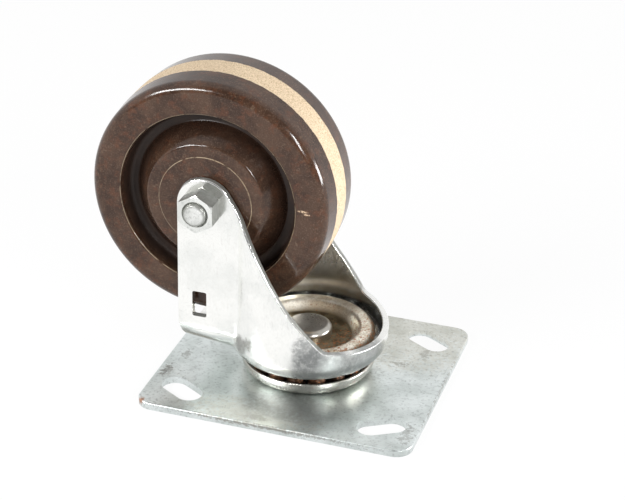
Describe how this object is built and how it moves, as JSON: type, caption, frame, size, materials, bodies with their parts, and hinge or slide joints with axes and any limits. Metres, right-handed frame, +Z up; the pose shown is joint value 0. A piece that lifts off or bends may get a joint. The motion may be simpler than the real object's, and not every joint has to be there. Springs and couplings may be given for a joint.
{
  "type": "heavy duty swivel castor",
  "caption": "Swivel castor with a pressed double ball race fork, a slotted mounting plate and a dark moulded wheel on a roller bearing, standing on its plate.",
  "frame": {"origin": "centre of the mounting plate's underside, on the swivel axis", "axes": "+Z up from the plate towards the wheel, X along the plate's long side with the wheel trailing towards -X"},
  "size_m": [0.1447, 0.1016, 0.1304],
  "materials": {
    "plate_zinc": "bright zinc plated sheet, bluish, with fine scratches",
    "race_zinc": "zinc plated, with rust specks",
    "pin_zinc": "zinc plated, domed by riveting",
    "cap_zinc": "zinc plated, tanned by grease and rust",
    "fork_zinc": "bright zinc plated sheet, satin",
    "fastener_zinc": "zinc plated",
    "bearing_steel": "ground bearing steel",
    "rusty_ball_steel": "bearing steel, brown with rust and grease",
    "phenolic": "dark brown moulded phenolic, semi-gloss, ground tan on the tread's middle"
  },
  "bodies": {
    "mount_base": {"mounting_plate": "plate_zinc", "plate_race": "race_zinc", "kingpin": "pin_zinc", "race_cap": "cap_zinc"},
    "fork_body": {"fork": "fork_zinc", "axle_bolt": "fastener_zinc", "axle_nut": "fastener_zinc", "spanner_bushing": "bearing_steel", "bearing_washer_near": "bearing_steel", "bearing_washer_far": "bearing_steel"},
    "wheel_body": {"wheel": "phenolic", "bearing_sleeve": "bearing_steel"},
    "roller_set": {"roller_cage": "bearing_steel", "roller_01": "bearing_steel", "roller_02": "bearing_steel", "roller_03": "bearing_steel", "roller_04": "bearing_steel", "roller_05": "bearing_steel", "roller_06": "bearing_steel", "roller_07": "bearing_steel", "roller_08": "bearing_steel"},
    "main_balls": {"main_ball_01": "rusty_ball_steel", "main_ball_02": "rusty_ball_steel", "main_ball_03": "rusty_ball_steel", "main_ball_04": "rusty_ball_steel", "main_ball_05": "rusty_ball_steel", "main_ball_06": "rusty_ball_steel", "main_ball_07": "rusty_ball_steel", "main_ball_08": "rusty_ball_steel", "main_ball_09": "rusty_ball_steel", "main_ball_10": "rusty_ball_steel", "main_ball_11": "rusty_ball_steel", "main_ball_12": "rusty_ball_steel", "main_ball_13": "rusty_ball_steel", "main_ball_14": "rusty_ball_steel", "main_ball_15": "rusty_ball_steel", "main_ball_16": "rusty_ball_steel", "main_ball_17": "rusty_ball_steel"},
    "cap_balls": {"cap_ball_01": "bearing_steel", "cap_ball_02": "bearing_steel", "cap_ball_03": "bearing_steel", "cap_ball_04": "bearing_steel", "cap_ball_05": "bearing_steel", "cap_ball_06": "bearing_steel", "cap_ball_07": "bearing_steel", "cap_ball_08": "bearing_steel", "cap_ball_09": "bearing_steel", "cap_ball_10": "bearing_steel", "cap_ball_11": "bearing_steel", "cap_ball_12": "bearing_steel", "cap_ball_13": "bearing_steel", "cap_ball_14": "bearing_steel", "cap_ball_15": "bearing_steel", "cap_ball_16": "bearing_steel", "cap_ball_17": "bearing_steel", "cap_ball_18": "bearing_steel", "cap_ball_19": "bearing_steel", "cap_ball_20": "bearing_steel", "cap_ball_21": "bearing_steel", "cap_ball_22": "bearing_steel"}
  },
  "joints": [
    {"name": "swivel", "type": "hinge", "parent": "mount_base", "child": "fork_body", "pos_m": [0, 0, 0], "axis": [0, 0, 1], "continuous": true},
    {"name": "wheel_spin", "type": "hinge", "parent": "fork_body", "child": "wheel_body", "pos_m": [-0.0376, 0, 0.08039], "axis": [0, 1, 0], "continuous": true},
    {"name": "roller_orbit", "type": "hinge", "parent": "fork_body", "child": "roller_set", "pos_m": [-0.0376, 0, 0.08039], "axis": [0, 1, 0], "continuous": true},
    {"name": "main_ball_orbit", "type": "hinge", "parent": "mount_base", "child": "main_balls", "pos_m": [0, 0, 0], "axis": [0, 0, 1], "continuous": true},
    {"name": "cap_ball_orbit", "type": "hinge", "parent": "mount_base", "child": "cap_balls", "pos_m": [0, 0, 0], "axis": [0, 0, 1], "continuous": true}
  ],
  "couplings": [
    {"joint": "roller_orbit", "follows": "wheel_spin", "ratio": 0.60163},
    {"joint": "main_ball_orbit", "follows": "swivel", "ratio": 0.5},
    {"joint": "cap_ball_orbit", "follows": "swivel", "ratio": 0.5}
  ]
}
